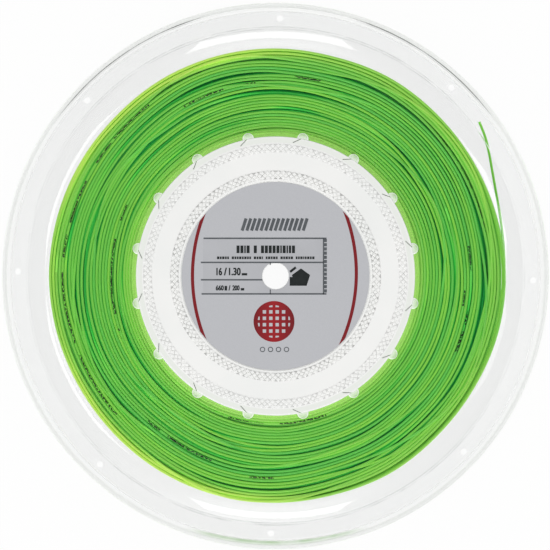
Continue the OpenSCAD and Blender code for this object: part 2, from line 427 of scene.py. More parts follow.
# %% Lay the wound string
wound = []
laid = 0.0
for part, (first, last) in enumerate(((0, 7), (7, 14), (14, 20), (20, 26), (26, layers)), 1):
    route = np.concatenate(traced[first:last] + ([traced[last][:1]] if last < layers else []))
    stretch, length = lay_string(f"wound_string_{part}", route, laid, printed_rows)
    laid += length
    wound.append(stretch)
    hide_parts("string_turns" if last == layers else "string_bulk")
bpy.data.objects.remove(string_section)
print("string on the reel, m:", round(laid, 1), "triangles:",
      sum(2 * len(w.data.polygons) for w in wound))

# %% [markdown]
# ## Turning on a lathe
# Flanges and hub caps are round mouldings, so they are turned: a point walks round the outline of
# the wall by extruding, and the outline is then spun about the axis. Corners that a mould would
# leave round are rounded in the outline first, because an edge that catches light is what makes
# plastic look like plastic.

# %% Make a lathe
def rounded(outline, radii, pieces=4):
    """Rounds the corners of a closed outline. radii gives a radius for some of the corners, by number."""
    result = []
    for i, corner in enumerate(outline):
        corner = np.array(corner, float)
        if i not in radii:
            result.append(tuple(corner))
            continue
        before = np.array(outline[i - 1], float) - corner
        after = np.array(outline[(i + 1) % len(outline)], float) - corner
        before, after = before / np.linalg.norm(before), after / np.linalg.norm(after)
        half = math.acos(np.clip(before @ after, -1, 1)) / 2
        reach = radii[i] / math.tan(half)
        centre = corner + (before + after) / np.linalg.norm(before + after) * radii[i] / math.sin(half)
        a, b = corner + before * reach - centre, corner + after * reach - centre
        for k in range(pieces + 1):
            mix = a + (b - a) * k / pieces
            result.append(tuple(centre + mix / np.linalg.norm(mix) * radii[i]))
    return result


def supported(outline):
    """Puts a point close to each end of a long straight run, so that shading bends only at the corners."""
    result = []
    for a, b in zip(outline, outline[1:] + outline[:1]):
        a, b = np.array(a, float), np.array(b, float)
        long = np.linalg.norm(b - a)
        result.append(tuple(a))
        if long > 1.0:
            result += [tuple(a + (b - a) * 0.12 / long), tuple(b - (b - a) * 0.12 / long)]
    return result


def lathe(name, outline, steps):
    """Turns a closed outline of (distance from the axis, height) points in millimetres into a ring."""
    alone()
    bpy.ops.mesh.primitive_plane_add(size=MM, location=(0, 0, 0))
    piece = bpy.context.object
    piece.name = piece.data.name = name
    mode("EDIT")
    bpy.ops.mesh.merge(type="CENTER")
    bpy.ops.transform.translate(value=(outline[0][0] * MM, 0, outline[0][1] * MM))
    for (r0, z0), (r1, z1) in zip(outline, outline[1:] + outline[:1]):
        bpy.ops.mesh.extrude_region_move(
            TRANSFORM_OT_translate={"value": ((r1 - r0) * MM, 0, (z1 - z0) * MM)})
    bpy.ops.mesh.select_all(action="SELECT")
    bpy.ops.mesh.remove_doubles(threshold=1e-7)
    bpy.ops.mesh.spin(steps=steps, angle=math.tau, center=(0, 0, 0), axis=(0, 0, 1))
    bpy.ops.mesh.select_all(action="SELECT")
    bpy.ops.mesh.remove_doubles(threshold=1e-6)
    bpy.ops.mesh.normals_make_consistent(inside=False)
    mode("OBJECT")
    print(" ", name, "faces:", len(piece.data.polygons))
    return piece


def cut(piece, tool, how="DIFFERENCE"):
    """Cuts a piece with a tool, or unites them, and throws the tool away."""
    pick(piece)
    boolean = piece.modifiers.new("cut", "BOOLEAN")
    boolean.operation, boolean.object, boolean.solver = how, tool, "EXACT"
    bpy.ops.object.modifier_apply(modifier=boolean.name)
    bpy.data.objects.remove(tool)


def other_side(piece, name):
    """Copies a piece of the upper side to the lower side, mirrored in the middle plane."""
    pick(piece)
    bpy.ops.object.duplicate()
    copy = bpy.context.object
    copy.name = copy.data.name = name
    mode("EDIT")
    bpy.ops.mesh.select_all(action="SELECT")
    bpy.ops.transform.resize(value=(1, 1, -1), center_override=(0, 0, middle * MM))
    bpy.ops.mesh.normals_make_consistent(inside=False)
    mode("OBJECT")
    return copy


# %% [markdown]
# ## The clear flanges
# A flange is a flat web, a slope that bends away from the winding ever more steeply and ends in a
# crisp bend, a flat land with eight small holes for the string's tail, and a raised rim. The bends
# matter more than the flats: in clear plastic only bends and edges show. The slope is therefore a
# curve of many short steps, and the rim's edges are rounded and its inner wall leans, as a mould
# needs it to.

# %% Turn a flange
web_bore, web_edge, land_edge, rim_edge, flange_edge = 61.0, 104.5, 114.0, 122.7, 124.955
web_face, rise, wall = 8.0, 2.0, 1.6    # the web's inner face above the middle plane, mm
land_face, rim_face = 10.0, 12.79       # the land's inner face and the rim's top, likewise


def slope_points(height):
    """The slope's surface from the web to the land, starting at a height above the middle plane."""
    return [(web_edge + (land_edge - web_edge) * u, height + rise * u ** 1.5)
            for u in np.linspace(0, 1, 16)]


inner_wall = slope_points(web_face)
outer_wall = slope_points(web_face + wall)[::-1]
rim = [(flange_edge, land_face), (flange_edge, rim_face), (rim_edge, rim_face), (rim_edge - 1.2, 11.6)]
outline = [(web_bore, web_face)] + inner_wall + rim + outer_wall + [(web_bore, web_face + wall)]
corner = 1 + len(inner_wall)
outline = supported(rounded(outline, {corner - 1: 1.4, corner: 0.5, corner + 1: 0.55, corner + 2: 0.4,
                                      corner + 3: 0.9, corner + 4: 0.9}))
front_flange = lathe("front_flange_moulding", [(r, z + middle) for r, z in outline], 360)

# %% Drill the tail holes
def drills(radius, from_axis, height):
    """Eight drills as one piece, at a distance from the axis and a height above the middle plane, in mm."""
    drill = empty_piece("drills")
    for k in range(8):
        bearing = -1 + 90 * (k // 2) + 48 * (k % 2)
        cylinder(24, radius, 8, round_axis(from_axis, bearing, middle + height))
    mode("OBJECT")
    return drill


rear_flange = other_side(front_flange, "rear_flange_moulding")
cut(front_flange, drills(1.5, 118.0, 10.8))
cut(rear_flange, drills(1.7, 118.5, -10.8))
for flange in (front_flange, rear_flange):
    smooth_up_to(flange, 24)
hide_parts("front_flange")
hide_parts("rear_flange")
print("flange triangles:", sum(len(p.vertices) - 2 for p in front_flange.data.polygons))

# %% [markdown]
# ## The drum
# The string is wound on a milky drum with sixteen flats and a rounded post along each corner. It
# starts as a sixteen-sided cylinder. The posts are made as one piece, which is united with the drum,
# and the bore is cut out last. This cell has a known fault that is still to be repaired: the posts'
# faces stay selected, so the bevel takes every edge and not just those at the ends, and the union
# then leaves only open slivers of the drum.

# %% Build the drum and its posts
corners = 16
between_corners = 360 / corners
first_corner = between_corners / 2
drum_depth, drum_bore = 16, 61.0

alone()
drum = cylinder(corners, 63.1, drum_depth, (0, 0, middle * MM), first_corner)
drum.name = drum.data.name = "drum_with_posts"
bpy.ops.object.transform_apply(location=True, rotation=True, scale=True)
alone()
posts = cylinder(24, 2.0, drum_depth)
mode("EDIT")
bpy.ops.mesh.delete(type="VERT")
for k in range(corners):
    cylinder(24, 2.0, drum_depth, round_axis(61.25, first_corner + between_corners * k, middle))
for kind in ("VERT", "EDGE"):
    bpy.ops.mesh.select_mode(type=kind)
    mode("OBJECT")
    for line in posts.data.edges:
        a, b = (posts.data.vertices[v].co for v in line.vertices)
        line.select = abs(a.z - b.z) < 1e-5
    mode("EDIT")
bpy.ops.mesh.bevel(offset=0.9 * MM, segments=4, affect="EDGES")
bpy.ops.mesh.select_mode(type="VERT")
mode("OBJECT")
cut(drum, posts, "UNION")
alone()
cut(drum, cylinder(128, drum_bore, 20, (0, 0, middle * MM)))
smooth_up_to(drum, 35)
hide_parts("drum")
print("drum faces:", len(drum.data.polygons))

# %% [markdown]
# ## The hub caps
# A cap holds its flange down with a thin lip and carries the label in a shallow recess. Between
# label and lip it is smooth, with a knurled band on either side. Diamond knurling is a field of
# small staggered pyramids with their tips cut off: a ring of squares whose every second point is
# raised, each square split so that the crease runs between two low points, and then a bevel on
# every raised point.

# %% Turn a cap
cap_hole, recess_edge, lip_edge = 8.05, 43.4, 63.9   # distances from the axis, mm
spigot_edge, spigot_bore = 60.8, 58.6                # the spigot is what goes into the drum
seat, lip_top, lip_foot = 10.2, 10.8, 9.6            # heights above the middle plane, mm
spigot_top, spigot_end = 9.2, 3.0

cap_outline = supported(rounded([
    (cap_hole, spigot_top), (cap_hole, seat), (recess_edge, seat), (recess_edge, lip_top),
    (lip_edge, lip_top), (lip_edge, lip_foot), (spigot_edge, lip_foot), (spigot_edge, spigot_end),
    (spigot_bore, spigot_end), (spigot_bore, spigot_top)], {3: 0.2, 4: 0.45}))
front_cap = lathe("front_hub_cap_moulding", [(r, z + middle) for r, z in cap_outline], 256)
smooth_up_to(front_cap, 35)


def knurled_ring(name, r_in, r_out, around, tip):
    """A thin ring with pyramids on top: around of them in a row, and tip is how high they stand, in mm."""
    rows, columns = 4, 2 * around
    low, sunk = middle + 10.83, middle + 10.5   # its top just clears the lip's, and its underside is sunk
    across = [(r_in + (r_out - r_in) * k / rows, low) for k in range(rows + 1)]
    ring = lathe(name, across + [(r_out, sunk), (r_in, sunk)], columns)
    high = []
    for point in ring.data.vertices:
        x, y, z = point.co / MM
        row = (math.hypot(x, y) - r_in) / (r_out - r_in) * rows
        column = round(math.atan2(y, x) / math.tau * columns)
        on_top = abs(z - low) < 0.01 and 0.5 < row < rows - 0.5
        high.append(on_top and (column + round(row)) % 2 == 0)
    mode("EDIT")
    bpy.ops.mesh.select_mode(type="FACE")
    for method, wanted in (("FIXED", False), ("FIXED_ALTERNATE", True)):
        bpy.ops.mesh.select_all(action="DESELECT")
        mode("OBJECT")
        for face in ring.data.polygons:
            face.select = (len(face.vertices) == 4 and face.normal.z > 0.9
                           and any(high[v] for v in face.vertices)
                           and (high[face.vertices[0]] or high[face.vertices[2]]) == wanted)
        mode("EDIT")
        bpy.ops.mesh.quads_convert_to_tris(quad_method=method)
    bpy.ops.mesh.select_mode(type="VERT")
    bpy.ops.mesh.select_all(action="DESELECT")
    mode("OBJECT")
    for point, is_high in zip(ring.data.vertices, high):
        point.select = is_high
    mode("EDIT")
    bpy.ops.transform.translate(value=(0, 0, tip * MM))
    bpy.ops.mesh.bevel(offset_type="PERCENT", offset_pct=56, segments=1, affect="VERTICES")
    mode("OBJECT")
    bpy.ops.object.shade_flat()
    return ring


inner_knurl = knurled_ring("inner_knurl", 44.1, 48.5, 120, 0.95)
outer_knurl = knurled_ring("outer_knurl", 56.3, 60.8, 148, 0.7)

# %% [markdown]
# At every corner of the drum the lip has a small tab, and beside it a thin slanted slit, so that
# the cap can spring in when it is pressed home. The slits are cut with sixteen thin blades at once,
# mirrored from one half to the other. Then the knurled rings join the cap, and the finished cap is
# copied to the other side.

# %% Slit the lip and finish both caps
slit_from_axis, slit_aside, slit_lean = 62.7, 2.2, 123.5   # mm, and two angles in degrees

alone()
bpy.ops.mesh.primitive_cube_add(size=MM, location=(0, 0, 0))
blades = bpy.context.object
mode("EDIT")
bpy.ops.mesh.delete(type="VERT")
for k in range(corners):
    side = 1 if k < corners / 2 else -1
    bearing = first_corner + between_corners * k + slit_aside * side
    bpy.ops.mesh.primitive_cube_add(
        size=MM, location=round_axis(slit_from_axis, bearing, middle + lip_top), scale=(4.2, 0.29, 2.5),
        rotation=(0, 0, math.radians(bearing) + math.radians(slit_lean) * side))
mode("OBJECT")
cut(front_cap, blades)
alone()
for ring in (inner_knurl, outer_knurl, front_cap):
    ring.select_set(True)
bpy.context.view_layer.objects.active = front_cap
bpy.ops.object.join()
rear_cap = other_side(front_cap, "rear_hub_cap_moulding")
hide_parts("front_hub_cap")
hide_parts("rear_hub_cap")
print("cap triangles:", sum(len(p.vertices) - 2 for p in front_cap.data.polygons))

# %% [markdown]
# A tab is the outer half of a low round button, thin enough at its tip for the string to show
# through. One button is modelled and copied to all sixteen corners, and a cylinder as wide as the
# lip cuts the inner halves away. Under the tabs the lip ends in a thin feather edge, which is turned.

# %% Add the tabs and the feather edge
alone()
front_tabs = cylinder(32, 2.6, 0.5, round_axis(64.0, first_corner, middle + 9.95))
front_tabs.name = front_tabs.data.name = "front_lip_tabs"
bpy.ops.object.transform_apply(location=True)
mode("EDIT")
bpy.ops.mesh.select_mode(type="FACE")
bpy.ops.mesh.select_all(action="DESELECT")
mode("OBJECT")
for face in front_tabs.data.polygons:
    face.select = face.normal.z > 0.9
mode("EDIT")
for thickness, lift in ((0.3, 0.18), (0.5, 0.12), (0.8, 0.04)):
    bpy.ops.mesh.inset(thickness=thickness * MM)
    bpy.ops.transform.translate(value=(0, 0, lift * MM))
bpy.ops.mesh.select_all(action="SELECT")
for k in range(corners - 1):
    bpy.ops.mesh.duplicate()
    bpy.ops.transform.rotate(value=math.radians(between_corners), orient_axis="Z",
                             center_override=(0, 0, 0))
bpy.ops.mesh.select_mode(type="VERT")
mode("OBJECT")
alone()
cut(front_tabs, cylinder(256, lip_edge, 6, (0, 0, (middle + 10) * MM)))
smooth_up_to(front_tabs, 40)
rear_tabs = other_side(front_tabs, "rear_lip_tabs")
front_edge = lathe("front_lip_edge", [
    (63.2, middle + 9.62), (67.2, middle + 9.62), (67.2, middle + 9.66), (63.2, middle + 9.8)], 192)
rear_edge = other_side(front_edge, "rear_lip_edge")
print("tab faces:", len(front_tabs.data.polygons))

# %% [markdown]
# ## The label's print
# The card itself is the frame's own disc, whose shape is already right. What is printed on it is
# laid on as films two hundredths of a millimetre thick, so that each ink can have a colour of its
# own. A title is only hinted at by a band of slanted strokes, like a twisted cord, and other words
# by rows of plain blocks. Only plain numbers are set in type: the string's gauge and thickness, and
# the length on the reel in feet and in metres. Everything is laid out on a fine square grid, whose
# columns run to the right and whose rows run downwards.

# %% Print with blocks
card_top = (middle + 10.45) * MM
card_radius = 42.85   # mm
film = 0.02 * MM
grid = 0.4574 * MM              # one step of the layout grid
axis_at = 275.0, 275.5          # the column and the row that the reel's axis goes through
prints = []


def on_card(column, row):
    """Turns a place on the layout grid into metres from the reel's axis."""
    return (column - axis_at[0]) * grid, (axis_at[1] - row) * grid


def thicken(sheet):
    """Gives a flat print its thickness."""
    mode("EDIT")
    bpy.ops.mesh.select_all(action="SELECT")
    bpy.ops.mesh.extrude_region_move(TRANSFORM_OT_translate={"value": (0, 0, film)})
    bpy.ops.mesh.select_all(action="SELECT")
    bpy.ops.mesh.normals_make_consistent(inside=False)
    mode("OBJECT")
    prints.append(sheet)


def block(left, top, right, bottom, lift=0.0):
    """Adds one rectangle to the print that is being edited."""
    x0, y0 = on_card(left, top)
    x1, y1 = on_card(right, bottom)
    centre = ((x0 + x1) / 2, (y0 + y1) / 2, card_top + lift)
    bpy.ops.mesh.primitive_plane_add(size=1, location=centre)
    bpy.ops.transform.resize(value=(x1 - x0, y0 - y1, 1), center_override=centre)


panel = empty_piece("print_panel")
block(202.5, 238, 323, 294)
thicken(panel)
alone()
cut(panel, cylinder(64, 6.25, 2, (0, 0, card_top)))

rules = empty_piece("print_rules")
for left, right, height in ((203, 326, 237.8), (200.3, 323, 261.9), (200.3, 262, 279.3), (201, 326, 293.4)):
    block(left, height - 0.75, right, height + 0.75, film)
block(269.3, 262, 270.3, 264.5, film)
block(269.3, 289, 270.3, 293.7, film)
block(322.4, 238, 323.7, 294, film)
for k in range(13):
    block(323.7, 238.4 + 4.2 * k, 326.4, 241.6 + 4.2 * k, film)
thicken(rules)
print("prints so far:", [sheet.name for sheet in prints])

# %% Set the rows of blocks
def row_of_blocks(left, right, top, bottom, widths, gap):
    """A row of blocks in the given proportions, with a gap between them. None is a wider space."""
    space = 3 * gap
    total = sum(width or space for width in widths) + gap * (len(widths) - 1)
    scale, column = (right - left) / total, left
    for width in widths:
        if width:
            block(column, top, column + width * scale, bottom, film)
        column += ((width or space) + gap) * scale


def slanted(left, top, right, bottom, lift, lean):
    """Adds one rectangle that leans over by an angle in degrees."""
    block(left, top, right, bottom, lift)
    middle_of_it = on_card((left + right) / 2, (top + bottom) / 2)
    bpy.ops.transform.rotate(value=math.radians(lean), orient_axis="Z",
                             center_override=(*middle_of_it, card_top))


title = empty_piece("print_title_strokes")
for k in range(14):
    stroke = 243.6 + 4.7 * k
    slanted(stroke - 1.55, 217.6, stroke + 1.55, 230.4, film, 18)
thicken(title)

words = empty_piece("print_small_blocks")
row_of_blocks(236, 294.5, 245, 252.6, (4, 4, 2, 4, None, 4, None, 4, 4, 4, 4, 4, 2, 4, 2, 3, 4), 1.1)
row_of_blocks(216.5, 314, 256, 258.6, (
    4, 3, 4, 3, 3, None, 4, 3, 3, 4, 3, 4, 3, 3, None, 4, 3, 4, 2, None,
    3, 4, 3, 4, 3, None, 4, 3, 4, 3, 4, None, 3, 3, 4, 2, 3, 4, 3, 4), 1.0)
block(241.2, 272.6, 246.7, 274.9, film)
block(240.2, 287.6, 243.7, 290, film)
block(224, 285.4, 226.6, 290, film)
thicken(words)
print("rows set")

# %% Set the numbers
def plain_number(figures, left, top, bottom, width):
    """Sets a plain number, fitted to a height and a width on the layout grid, as a flat mesh.

    It is struck twice, a little to the side and a trace higher, which makes it bolder.
    """
    aside, half_depth = 0.4, 0.01
    alone()
    bpy.ops.object.text_add(location=(0, 0, 0))
    word = bpy.context.object
    word.data.body = figures
    word.data.extrude, word.data.offset = half_depth, 0.02
    bpy.ops.object.convert(target="MESH")
    word = bpy.context.object
    place = np.array([v.co for v in word.data.vertices])
    low, high = place.min(0), place.max(0)
    x0, y0 = on_card(left, bottom)
    tall, wide = (bottom - top) * grid, (width - aside) * grid
    mode("EDIT")
    bpy.ops.mesh.select_all(action="SELECT")
    bpy.ops.mesh.remove_doubles(threshold=1e-4)
    bpy.ops.transform.translate(value=(-low[0], -low[1], -low[2]))
    bpy.ops.transform.resize(
        value=(wide / (high[0] - low[0]), tall / (high[1] - low[1]), film / (2 * half_depth)),
        center_override=(0, 0, 0))
    bpy.ops.transform.translate(value=(x0, y0, card_top + film))
    bpy.ops.mesh.duplicate()
    bpy.ops.transform.translate(value=(aside * grid, 0, 0.1 * film))
    mode("OBJECT")
    return word


rows = ((267.2, 274.9, (("16", 215.8, 5.8), ("/", 223.3, 3.1), ("1.30", 228.3, 11.9))),
        (284.8, 290, (("660", 215.2, 8.1), ("/", 227.9, 2.1), ("200", 231.8, 7.3))))
set_numbers = [plain_number(figures, left, top, bottom, width)
               for top, bottom, row in rows for figures, left, width in row]
alone()
for word in set_numbers:
    word.select_set(True)
bpy.context.view_layer.objects.active = set_numbers[0]
bpy.ops.object.join()
numbers = set_numbers[0]
numbers.name = numbers.data.name = "print_numbers"
prints.append(numbers)
print("number faces:", len(numbers.data.polygons))

# %% [markdown]
# Two long thin arcs flank the text. Each is a piece of a large ring, and it runs to a point because
# the card's edge cuts across it. Below the text sits a dark red string bed, as on a racket's face,
# with a row of four small rings under it, and beside the hole a small picture of the string's
# five-cornered section.

# %% Print the arcs
def flat_ring(centre, outer, inner, points):
    """Adds a flat ring to the piece that is being edited. centre and the two radii are in metres."""
    bpy.ops.mesh.primitive_circle_add(vertices=points, radius=outer, fill_type="NOTHING", location=centre)
    bpy.ops.mesh.extrude_edges_move(TRANSFORM_OT_translate={"value": (0, 0, 0)})
    bpy.ops.transform.resize(value=(inner / outer, inner / outer, 1), center_override=centre)


def arc(name, centre, radius):
    """A thin ring about a far centre, trimmed by the card's own edge. Lengths are in millimetres."""
    half = 0.75
    ring = empty_piece(name)
    flat_ring((centre[0] * MM, centre[1] * MM, card_top), (radius + half) * MM, (radius - half) * MM, 240)
    thicken(ring)
    alone()
    cut(ring, cylinder(160, card_radius, 2, (0, 0, card_top)), "INTERSECT")
    return ring


left_arc = arc("print_left_arc", (40.4, 0.2), 78.4)
right_arc = arc("print_right_arc", (-41.2, 1.3), 78.2)
print("arc faces:", len(left_arc.data.polygons), len(right_arc.data.polygons))

# %% Print the string bed, the section and the row of rings
bed = empty_piece("print_string_bed")
bed_column, bed_row, mesh_width, half_string = 273.5, 321, 6.4, 1.5
bed_centre = (*on_card(bed_column, bed_row), card_top)
flat_ring(bed_centre, 20.5 * grid, 16.3 * grid, 64)
for k in (-2, -1, 0, 1, 2):
    aside = mesh_width * k
    reach = math.sqrt(18.5 ** 2 - aside ** 2)
    block(bed_column + aside - half_string, bed_row - reach,
          bed_column + aside + half_string, bed_row + reach, 0.1 * film)
    block(bed_column - reach, bed_row + aside - half_string,
          bed_column + reach, bed_row + aside + half_string, 0.2 * film)
thicken(bed)

section_mark = empty_piece("print_section_mark")
bpy.ops.mesh.primitive_circle_add(vertices=5, radius=9.6 * grid, fill_type="NGON",
                                  location=(*on_card(300.5, 277.5), card_top + film))
block(289.2, 276.5, 297, 285.27, 0.9 * film)
slanted(288.8, 267.9, 296.2, 270.3, 0.8 * film, -38)
thicken(section_mark)

ring_row = empty_piece("print_ring_row")
for column in (262, 270, 278, 286):
    flat_ring((*on_card(column, 349), card_top), 2.7 * grid, 1.8 * grid, 16)
thicken(ring_row)
for sheet in prints:
    print(" ", sheet.name, len(sheet.data.polygons))

# %% [markdown]
# ## Helpers for finishes
# A finish is a Principled shader and a few texture nodes. Colours are written as they look on a
# screen and turned into the light values that the shader works in.

# %% Write colours as a screen shows them
def screen(red, green, blue):
    """Turns a screen colour, 0 to 255, into the linear colour that a shader takes."""
    parts = []
    for value in (red, green, blue):
        value /= 255
        parts.append(value / 12.92 if value <= 0.04045 else ((value + 0.055) / 1.055) ** 2.4)
    return (*parts, 1.0)


# %% [markdown]
# Two effects serve several finishes, so each is a node group that is built once. The first says
# where a point lies on the reel: how far from the axis, how far above or below the middle plane, and
# how far to the side. The second is uneven gloss, which moulding and handling leave on everything:
# noise that moves the roughness between a smoothest and a dullest value.

# %% Build the shared groups
def add_node(tree, kind, inputs=None, **settings):
    """Adds a node to a tree. An input is a number, a colour or the output of another node."""
    node = tree.nodes.new("ShaderNode" + kind)
    for name, value in settings.items():
        setattr(node, name, value)
    for socket, value in (inputs or {}).items():
        if isinstance(value, bpy.types.NodeSocket):
            tree.links.new(value, node.inputs[socket])
        else:
            node.inputs[socket].default_value = value
    return node


def new_group(name, inputs):
    """An empty group with named number inputs, and the sockets that hand them in."""
    group = bpy.data.node_groups.new(name, "ShaderNodeTree")
    for label, value in inputs.items():
        socket = group.interface.new_socket(label, in_out="INPUT", socket_type="NodeSocketFloat")
        socket.default_value = value
    return group, group.nodes.new("NodeGroupInput").outputs


def hand_out(group, results):
    """Gives a group its named outputs."""
    for label in results:
        group.interface.new_socket(label, in_out="OUTPUT", socket_type="NodeSocketFloat")
    end = group.nodes.new("NodeGroupOutput")
    for label, result in results.items():
        group.links.new(result, end.inputs[label])


place_on_reel, _ = new_group("place_on_reel", {})
point = add_node(place_on_reel, "TexCoord").outputs["Object"]
flat = add_node(place_on_reel, "VectorMath", {0: point, 1: (1, 1, 0)}, operation="MULTIPLY").outputs[0]
place = add_node(place_on_reel, "SeparateXYZ", {0: point}).outputs
raised = add_node(place_on_reel, "Math", {0: place[2], 1: middle * MM}, operation="SUBTRACT").outputs[0]
hand_out(place_on_reel, {
    "From axis": add_node(place_on_reel, "VectorMath", {0: flat}, operation="LENGTH").outputs["Value"],
    "Off middle": add_node(place_on_reel, "Math", {0: raised}, operation="ABSOLUTE").outputs[0],
    "Sideways": add_node(place_on_reel, "Math", {0: place[1]}, operation="ABSOLUTE").outputs[0]})

uneven_gloss, given = new_group(
    "uneven_gloss", {"Scale": 500.0, "Detail": 3.0, "Smoothest": 0.3, "Dullest": 0.45})
speckle = add_node(uneven_gloss, "TexNoise", {
    "Vector": add_node(uneven_gloss, "TexCoord").outputs["Object"],
    "Scale": given["Scale"], "Detail": given["Detail"]}).outputs[0]
hand_out(uneven_gloss, {"Roughness": add_node(uneven_gloss, "MapRange", {
    "Value": speckle, "From Min": 0.3, "From Max": 0.7,
    "To Min": given["Smoothest"], "To Max": given["Dullest"]}).outputs[0]})
print("groups:", place_on_reel.name, uneven_gloss.name)

# %% Mix colours and wire nodes
class Finish:
    """A material with its shader at hand, and short ways to add nodes."""

    def __init__(self, name, colour, roughness, **sockets):
        self.material = bpy.data.materials.new(name)
        self.material.use_nodes = True
        self.tree = self.material.node_tree
        self.shader = self.tree.nodes["Principled BSDF"]
        self.output = self.tree.nodes["Material Output"]
        self.shader.inputs["Base Color"].default_value = colour
        self.shader.inputs["Roughness"].default_value = roughness
        for socket, value in sockets.items():
            self.shader.inputs[socket.replace("_", " ")].default_value = value
        self.place = self.add("TexCoord").outputs["Object"]

    def add(self, kind, inputs=None, **settings):
        """Adds a node to this material."""
        return add_node(self.tree, kind, inputs, **settings)

    def maths(self, operation, *values):
        """A Math node with the given values, and its result."""
        return self.add("Math", dict(enumerate(values)), operation=operation).outputs[0]

    def times(self, first, second):
        """One value times another."""
        return self.maths("MULTIPLY", first, second)

    def over(self, value, limit):
        """1 where a value is over a limit, and otherwise 0."""
        return self.maths("GREATER_THAN", value, limit)

    def away(self, value, centre=None):
        """How far a value is from a centre, or from nought."""
        return self.maths("ABSOLUTE", value if centre is None else self.maths("SUBTRACT", value, centre))

    def spread(self, value, low, high, to_low, to_high, smooth=False):
        """Takes a value from one range to another."""
        ranges = {"Value": value, "From Min": low, "From Max": high, "To Min": to_low, "To Max": to_high}
        return self.add("MapRange", ranges,
                        interpolation_type="SMOOTHSTEP" if smooth else "LINEAR").outputs[0]

    def blend(self, share, first, second, how="MIX"):
        """Mixes two colours."""
        mix = {0: share, 6: first, 7: second}
        return self.add("Mix", mix, data_type="RGBA", blend_type=how).outputs[2]

    def noise(self, scale, detail=2.0, roughness=0.5):
        """Even noise through the whole piece, scale times to the metre."""
        return self.add("TexNoise", {"Vector": self.place, "Scale": scale, "Detail": detail,
                                     "Roughness": roughness}).outputs[0]

    def noise_along(self, distance, scale, detail):
        """Noise that depends only on a distance along the string."""
        return self.add("TexNoise", {"W": distance, "Scale": scale, "Detail": detail},
                        noise_dimensions="1D").outputs[0]

    def on_reel(self):
        """Distance from the axis, distance from the middle plane and distance to the side, in metres."""
        return self.add("Group", node_tree=place_on_reel).outputs[:]

    def gloss(self, scale, detail, smoothest, dullest):
        """Lets the gloss be uneven, through the shared group."""
        noise_and_range = {"Scale": scale, "Detail": detail, "Smoothest": smoothest, "Dullest": dullest}
        self.rough(self.add("Group", noise_and_range, node_tree=uneven_gloss).outputs[0])

    def colour(self, value):
        """Connects a colour to the shader."""
        self.tree.links.new(value, self.shader.inputs["Base Color"])

    def rough(self, value):
        """Connects a roughness to the shader."""
        self.tree.links.new(value, self.shader.inputs["Roughness"])

    def bump(self, height, distance, strength=1.0):
        """Lets a height texture roughen the surface, distance deep."""
        node = self.add("Bump", {"Height": height, "Distance": distance, "Strength": strength})
        self.tree.links.new(node.outputs[0], self.shader.inputs["Normal"])


def dress(pieces, finish):
    """Gives pieces a finish, and lets them ride on the reel's one body."""
    for piece in pieces:
        piece.data.materials.clear()
        piece.data.materials.append(finish.material)
        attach(piece, "root")
        print(" ", piece.name, "->", finish.material.name)


def dress_frame(nodes, finish):
    """Gives a finish to solids of the frame that stay as they are."""
    for node in nodes:
        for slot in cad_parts[node].material_slots:
            slot.material = finish.material


# %% [markdown]
# ## String
# The string is bright green co-polyester, dyed through. Its colour drifts slowly along its length,
# because batches and tension differ. The turns that lie lower are painted a deeper, darker green:
# painted shade that follows the depth below the nearest face. Painted light makes the string lighter
# and yellower over the drum, at the rim of the pack and in turns that ride over the others. The
# outermost turns get the most painted light, above all on the side towards -X.

# %% Finish: green string
string = Finish("green_string", screen(112, 200, 74), 0.36, Specular_IOR_Level=0.35)
along, crest, aside, in_row = (string.add("Attribute", attribute_name=fact).outputs["Fac"]
                               for fact in ("along", "crest", "aside", "printed"))
from_axis, off_middle, sideways = string.on_reel()
x_place, _, height = string.add("SeparateXYZ", {0: string.place}).outputs[:]
wound_on = string.spread(height, 0.0064, 0.0072, 0, 1)   # the loose tail lies lower than this
below_face = string.maths("SUBTRACT", face_height * MM + string_radius, off_middle)
below_rim = string.maths("SUBTRACT", edge * MM + string_radius, from_axis)
depth = string.maths("MINIMUM", below_face, below_rim)
drift = string.noise_along(string.times(along, 1.7), 1.0, 1.0)
body = string.blend(string.spread(drift, 0.32, 0.68, 0, 1), screen(103, 208, 84), screen(141, 223, 79))
# painted shade: the lower a turn lies below the nearest face, the deeper and darker its green
for low, deep, shade_green in ((0.0005, 0.0012, screen(64, 206, 74)), (0.001, 0.002, screen(12, 164, 70))):
    body = string.blend(string.spread(depth, low, deep, 0, 1, True), body, shade_green)
# painted light: turns that ride over the others are painted lighter and yellower
riding_light = string.times(string.spread(below_face, -0.0001, -0.0004, 0, 0.6, True), wound_on)
body = string.blend(riding_light, body, screen(160, 230, 86))
# painted light: turns over the drum are painted lighter and yellower
light_over_drum = string.spread(from_axis, 0.0714, 0.0660, 0, 0.9, True)
body = string.blend(light_over_drum, body, screen(166, 238, 100))
# painted light: the outer turns of the pack are painted lighter and yellower
outer = string.times(string.spread(from_axis, 0.0960, 0.0995, 0, 0.24, True), wound_on)
body = string.blend(outer, body, screen(186, 238, 96))
# painted light: the outermost turns are painted lightest, above all towards -X
lit = string.times(string.spread(sideways, 0.02, 0.055, 0.3, 1, True),
                   string.spread(x_place, -0.03, 0.035, 1, 0.3, True))
outermost = string.times(string.spread(from_axis, 0.0996, 0.1018, 0, 1, True), lit)
body = string.blend(string.times(outermost, wound_on), body, screen(204, 248, 104))
print("nodes for the tone:", len(string.tree.nodes))
